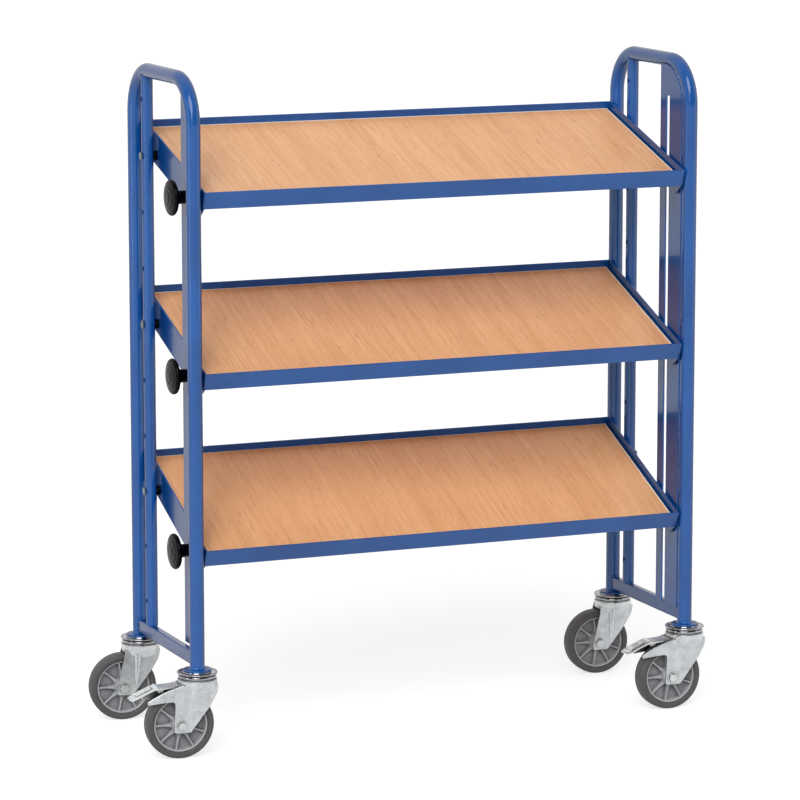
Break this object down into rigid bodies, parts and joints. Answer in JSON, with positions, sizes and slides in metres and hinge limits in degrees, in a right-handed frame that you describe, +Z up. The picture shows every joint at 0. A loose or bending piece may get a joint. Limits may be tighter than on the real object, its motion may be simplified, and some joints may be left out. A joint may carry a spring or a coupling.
{
  "type": "book cart",
  "caption": "Steel tube cart on swivel casters with sloping wooden trays that tilt on rear pivots and clamp in slotted end frames.",
  "frame": {"origin": "on the floor, under the centre of the whole cart's outline with its casters trailing to the left", "axes": "+X to the right end, +Y to the rear, where the trays are high, +Z up"},
  "size_m": [1.1436, 0.386, 1.23],
  "materials": {
    "blue_enamel": "glossy powder coat",
    "beech_board": "beech-pattern laminate, satin",
    "black_knob": "polished moulded plastic",
    "black_plastic": "matt moulded plastic",
    "grey_plastic": "moulded polypropylene",
    "grey_tyre": "matt thermoplastic rubber",
    "zinc_caster": "bright zinc plate on pressed sheet",
    "zinc_fastener": "zinc plated"
  },
  "bodies": {
    "root": {"left_hoop": "blue_enamel", "left_crossbar": "blue_enamel", "left_rail": "blue_enamel", "left_slotted_plate": "blue_enamel", "right_hoop": "blue_enamel", "right_crossbar": "blue_enamel", "right_rail": "blue_enamel", "right_slotted_plate": "blue_enamel", "post_flanges": "blue_enamel", "pivot_bolts": "zinc_fastener", "pivot_nuts": "zinc_fastener", "pivot_spacers": "black_plastic", "caster_heads": "zinc_caster"},
    "top_tray": {"top_tray_front_angle": "blue_enamel", "top_tray_rear_angle": "blue_enamel", "top_tray_left_side": "blue_enamel", "top_tray_right_side": "blue_enamel", "top_tray_board": "beech_board"},
    "top_clamps": {"top_clamp_bolts": "zinc_fastener", "top_clamp_washers": "zinc_fastener"},
    "top_left_knob": {"top_left_knob": "black_knob"},
    "top_right_knob": {"top_right_knob": "black_knob"},
    "middle_tray": {"middle_tray_front_angle": "blue_enamel", "middle_tray_rear_angle": "blue_enamel", "middle_tray_left_side": "blue_enamel", "middle_tray_right_side": "blue_enamel", "middle_tray_board": "beech_board"},
    "middle_clamps": {"middle_clamp_bolts": "zinc_fastener", "middle_clamp_washers": "zinc_fastener"},
    "middle_left_knob": {"middle_left_knob": "black_knob"},
    "middle_right_knob": {"middle_right_knob": "black_knob"},
    "bottom_tray": {"bottom_tray_front_angle": "blue_enamel", "bottom_tray_rear_angle": "blue_enamel", "bottom_tray_left_side": "blue_enamel", "bottom_tray_right_side": "blue_enamel", "bottom_tray_board": "beech_board"},
    "bottom_clamps": {"bottom_clamp_bolts": "zinc_fastener", "bottom_clamp_washers": "zinc_fastener"},
    "bottom_left_knob": {"bottom_left_knob": "black_knob"},
    "bottom_right_knob": {"bottom_right_knob": "black_knob"},
    "front_left_swivel": {"front_left_fork": "zinc_caster", "front_left_axle": "zinc_fastener"},
    "front_left_wheel": {"front_left_rim": "grey_plastic", "front_left_tyre": "grey_tyre"},
    "front_left_pedal": {"front_left_brake_pedal": "zinc_caster"},
    "front_right_swivel": {"front_right_fork": "zinc_caster", "front_right_axle": "zinc_fastener"},
    "front_right_wheel": {"front_right_rim": "grey_plastic", "front_right_tyre": "grey_tyre"},
    "front_right_pedal": {"front_right_brake_pedal": "zinc_caster"},
    "rear_left_swivel": {"rear_left_fork": "zinc_caster", "rear_left_axle": "zinc_fastener"},
    "rear_left_wheel": {"rear_left_rim": "grey_plastic", "rear_left_tyre": "grey_tyre"},
    "rear_right_swivel": {"rear_right_fork": "zinc_caster", "rear_right_axle": "zinc_fastener"},
    "rear_right_wheel": {"rear_right_rim": "grey_plastic", "rear_right_tyre": "grey_tyre"}
  },
  "joints": [
    {"name": "top_tray_tilt", "type": "hinge", "parent": "root", "child": "top_tray", "pos_m": [0.04528, 0.087, 1.061], "axis": [1, 0, 0], "range_deg": [-17.5, 10.5]},
    {"name": "top_clamp_travel", "type": "slide", "parent": "root", "child": "top_clamps", "axis": [0, 0, 1], "range_m": [-0.0364, 0.0599]},
    {"name": "top_left_knob_turn", "type": "hinge", "parent": "top_clamps", "child": "top_left_knob", "pos_m": [-0.46102, -0.0915, 1.00472], "axis": [-1, 0, 0], "range_deg": [0, 360]},
    {"name": "top_right_knob_turn", "type": "hinge", "parent": "top_clamps", "child": "top_right_knob", "pos_m": [0.55158, -0.0915, 1.00472], "axis": [1, 0, 0], "range_deg": [0, 360]},
    {"name": "middle_tray_tilt", "type": "hinge", "parent": "root", "child": "middle_tray", "pos_m": [0.04528, 0.087, 0.752], "axis": [1, 0, 0], "range_deg": [-21, 7]},
    {"name": "middle_clamp_travel", "type": "slide", "parent": "root", "child": "middle_clamps", "axis": [0, 0, 1], "range_m": [-0.0246, 0.0717]},
    {"name": "middle_left_knob_turn", "type": "hinge", "parent": "middle_clamps", "child": "middle_left_knob", "pos_m": [-0.46102, -0.0915, 0.68348], "axis": [-1, 0, 0], "range_deg": [0, 360]},
    {"name": "middle_right_knob_turn", "type": "hinge", "parent": "middle_clamps", "child": "middle_right_knob", "pos_m": [0.55158, -0.0915, 0.68348], "axis": [1, 0, 0], "range_deg": [0, 360]},
    {"name": "bottom_tray_tilt", "type": "hinge", "parent": "root", "child": "bottom_tray", "pos_m": [0.04528, 0.087, 0.443], "axis": [1, 0, 0], "range_deg": [-23.7, 4.3]},
    {"name": "bottom_clamp_travel", "type": "slide", "parent": "root", "child": "bottom_clamps", "axis": [0, 0, 1], "range_m": [-0.0155, 0.0808]},
    {"name": "bottom_left_knob_turn", "type": "hinge", "parent": "bottom_clamps", "child": "bottom_left_knob", "pos_m": [-0.46102, -0.0915, 0.36464], "axis": [-1, 0, 0], "range_deg": [0, 360]},
    {"name": "bottom_right_knob_turn", "type": "hinge", "parent": "bottom_clamps", "child": "bottom_right_knob", "pos_m": [0.55158, -0.0915, 0.36464], "axis": [1, 0, 0], "range_deg": [0, 360]},
    {"name": "front_left_swivel_turn", "type": "hinge", "parent": "root", "child": "front_left_swivel", "pos_m": [-0.44272, -0.156, 0.148], "axis": [0, 0, 1], "continuous": true},
    {"name": "front_left_wheel_spin", "type": "hinge", "parent": "front_left_swivel", "child": "front_left_wheel", "pos_m": [-0.47758, -0.15295, 0.0625], "axis": [0.0872, 0.9962, 0], "continuous": true},
    {"name": "front_left_pedal_press", "type": "hinge", "parent": "front_left_swivel", "child": "front_left_pedal", "pos_m": [-0.46662, -0.15391, 0.13], "axis": [-0.0872, -0.9962, 0], "range_deg": [0, 9]},
    {"name": "front_right_swivel_turn", "type": "hinge", "parent": "root", "child": "front_right_swivel", "pos_m": [0.53329, -0.156, 0.148], "axis": [0, 0, 1], "continuous": true},
    {"name": "front_right_wheel_spin", "type": "hinge", "parent": "front_right_swivel", "child": "front_right_wheel", "pos_m": [0.49828, -0.156, 0.0625], "axis": [0, 1, 0], "continuous": true},
    {"name": "front_right_pedal_press", "type": "hinge", "parent": "front_right_swivel", "child": "front_right_pedal", "pos_m": [0.50928, -0.156, 0.13], "axis": [0, -1, 0], "range_deg": [0, 9]},
    {"name": "rear_left_swivel_turn", "type": "hinge", "parent": "root", "child": "rear_left_swivel", "pos_m": [-0.44272, 0.156, 0.148], "axis": [0, 0, 1], "continuous": true},
    {"name": "rear_left_wheel_spin", "type": "hinge", "parent": "rear_left_swivel", "child": "rear_left_wheel", "pos_m": [-0.47737, 0.16087, 0.0625], "axis": [0.1392, 0.9903, 0], "continuous": true},
    {"name": "rear_right_swivel_turn", "type": "hinge", "parent": "root", "child": "rear_right_swivel", "pos_m": [0.53329, 0.156, 0.148], "axis": [0, 0, 1], "continuous": true},
    {"name": "rear_right_wheel_spin", "type": "hinge", "parent": "rear_right_swivel", "child": "rear_right_wheel", "pos_m": [0.49837, 0.15844, 0.0625], "axis": [0.0698, 0.9976, 0], "continuous": true}
  ],
  "couplings": [
    {"joint": "top_clamp_travel", "follows": "top_tray_tilt", "m_per_rad": -0.193},
    {"joint": "middle_clamp_travel", "follows": "middle_tray_tilt", "m_per_rad": -0.193},
    {"joint": "bottom_clamp_travel", "follows": "bottom_tray_tilt", "m_per_rad": -0.193}
  ]
}
